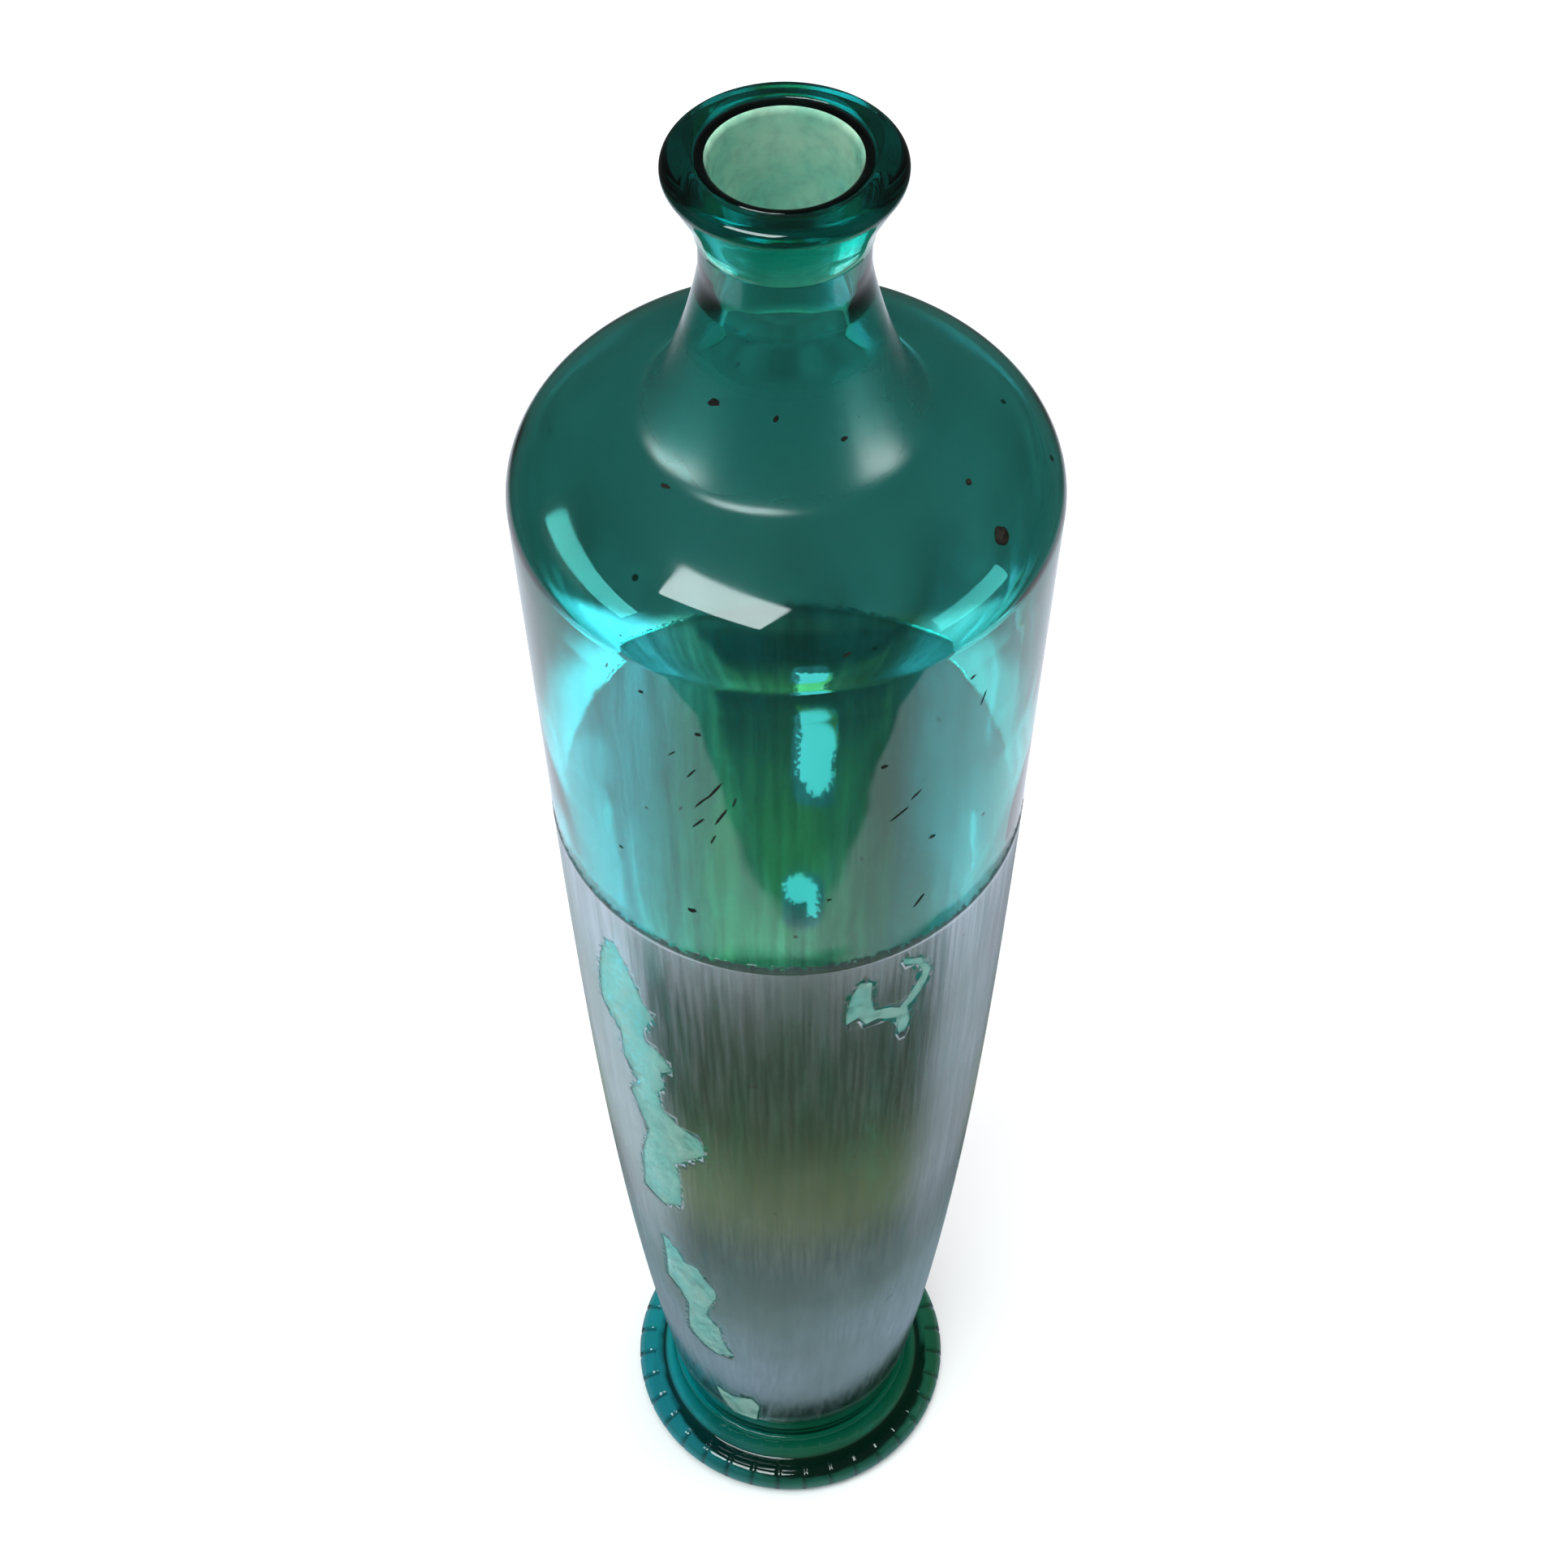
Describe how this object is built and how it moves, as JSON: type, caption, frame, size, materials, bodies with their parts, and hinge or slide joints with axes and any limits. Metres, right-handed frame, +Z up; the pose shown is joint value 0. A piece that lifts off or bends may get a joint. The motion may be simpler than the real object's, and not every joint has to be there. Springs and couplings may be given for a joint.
{
  "type": "glass bottle",
  "caption": "Tall hollow glass bottle with a rounded shoulder, short neck, thick flared lip, flared crimped foot and a worn metallic coat on the lower body.",
  "frame": {"origin": "centre of the foot, on the surface that the bottle stands on", "axes": "+Z up along the bottle's axis; -Y is the side with the two largest worn places of the coat"},
  "size_m": [0.12, 0.12, 0.5],
  "materials": {
    "body_glass": "clear teal glass, glossy, slightly wavy, with seeds and stones",
    "lip_glass": "clear deep teal glass, fire polished",
    "foot_glass": "clear deep teal glass, fire polished, crimped rim",
    "silver_lacquer": "thin see-through silver lacquer, satin, brushed lengthways, worn through in places"
  },
  "bodies": {
    "root": {"glass_body": "body_glass", "lip": "lip_glass", "foot": "foot_glass", "pontil_scar": "foot_glass", "silver_coat": "silver_lacquer"}
  },
  "joints": []
}
